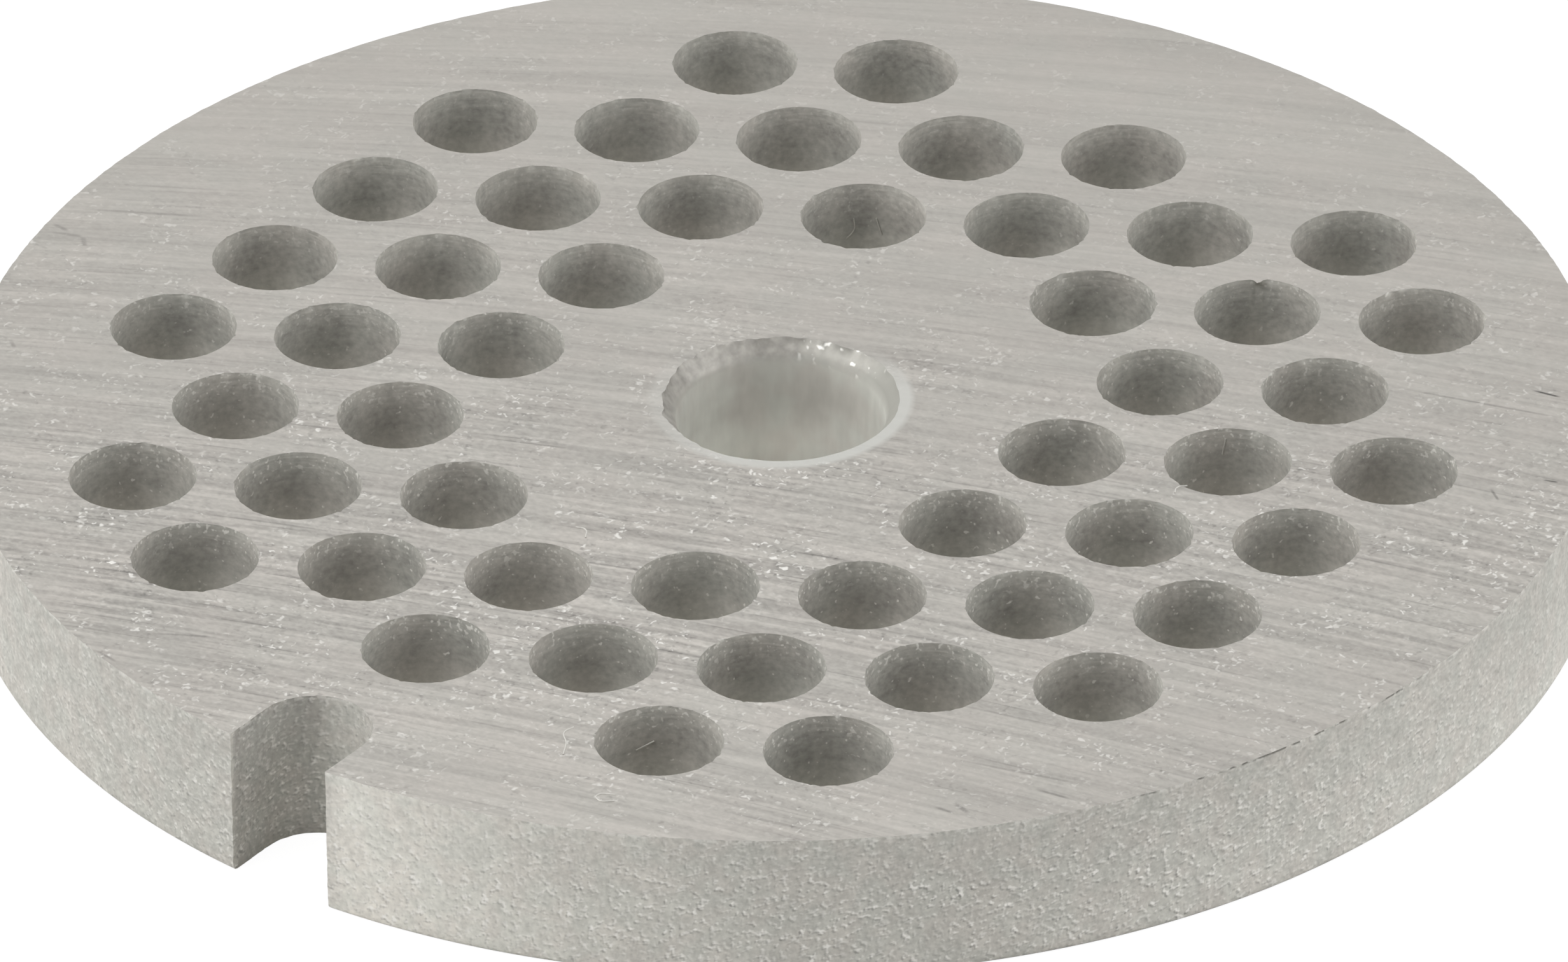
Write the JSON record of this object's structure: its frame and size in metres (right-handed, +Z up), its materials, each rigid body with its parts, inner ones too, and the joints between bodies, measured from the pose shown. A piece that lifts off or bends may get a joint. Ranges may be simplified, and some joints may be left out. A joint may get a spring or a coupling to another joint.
{
  "type": "meat grinder plate",
  "caption": "Round perforated steel plate for a meat grinder, with a chamfered centre bore, round cutting holes on a triangular lattice and one U-shaped keying notch in its rim.",
  "frame": {"origin": "centre of the bottom face, on the axis of the centre bore", "axes": "+Z up through the plate along the bore, -Y out through the notch in the rim"},
  "size_m": [0.0825, 0.0823, 0.008],
  "materials": {
    "plate_steel": "surface ground faces, grit blasted rim"
  },
  "bodies": {
    "root": {"grinder_plate": "plate_steel"}
  },
  "joints": []
}
